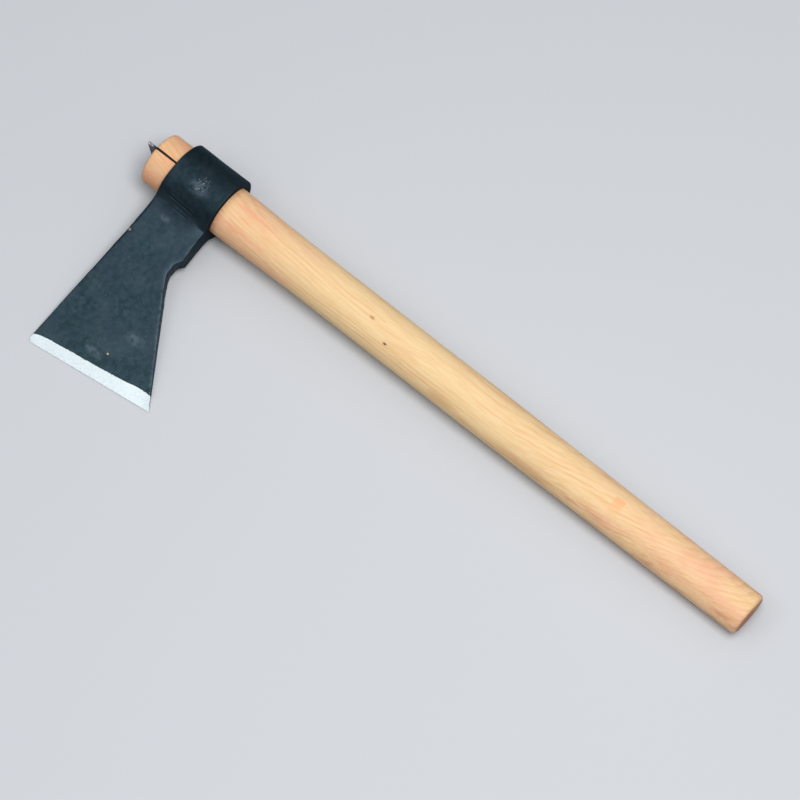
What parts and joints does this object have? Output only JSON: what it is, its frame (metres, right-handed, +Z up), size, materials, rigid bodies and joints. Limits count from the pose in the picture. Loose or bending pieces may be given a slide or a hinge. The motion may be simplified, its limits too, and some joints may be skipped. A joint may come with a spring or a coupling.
{
  "type": "hand axe",
  "caption": "Small hand axe: forged black head with a flared blade and a ground straight edge, round eye collar, straight wooden haft and a steel wedge standing out of its top.",
  "frame": {"origin": "middle of the bounding box's footprint, on the flat surface that the axe lies on", "axes": "+X along the haft from its top end to its butt, +Y from the cutting edge towards the poll side, +Z up; the axe lies on its side, tipped until the collar's lower rim, the butt's lower rim and the blade's toe touch the surface"},
  "size_m": [0.4462, 0.1518, 0.0429],
  "materials": {
    "haft_wood": "smooth sanded raw wood with fine long grain",
    "forged_steel": "satin blue-black forge scale with a bright ground cutting bevel",
    "wedge_steel": "rough sheared grey steel"
  },
  "bodies": {
    "root": {"haft": "haft_wood", "axe_head": "forged_steel", "steel_wedge": "wedge_steel"}
  },
  "joints": []
}
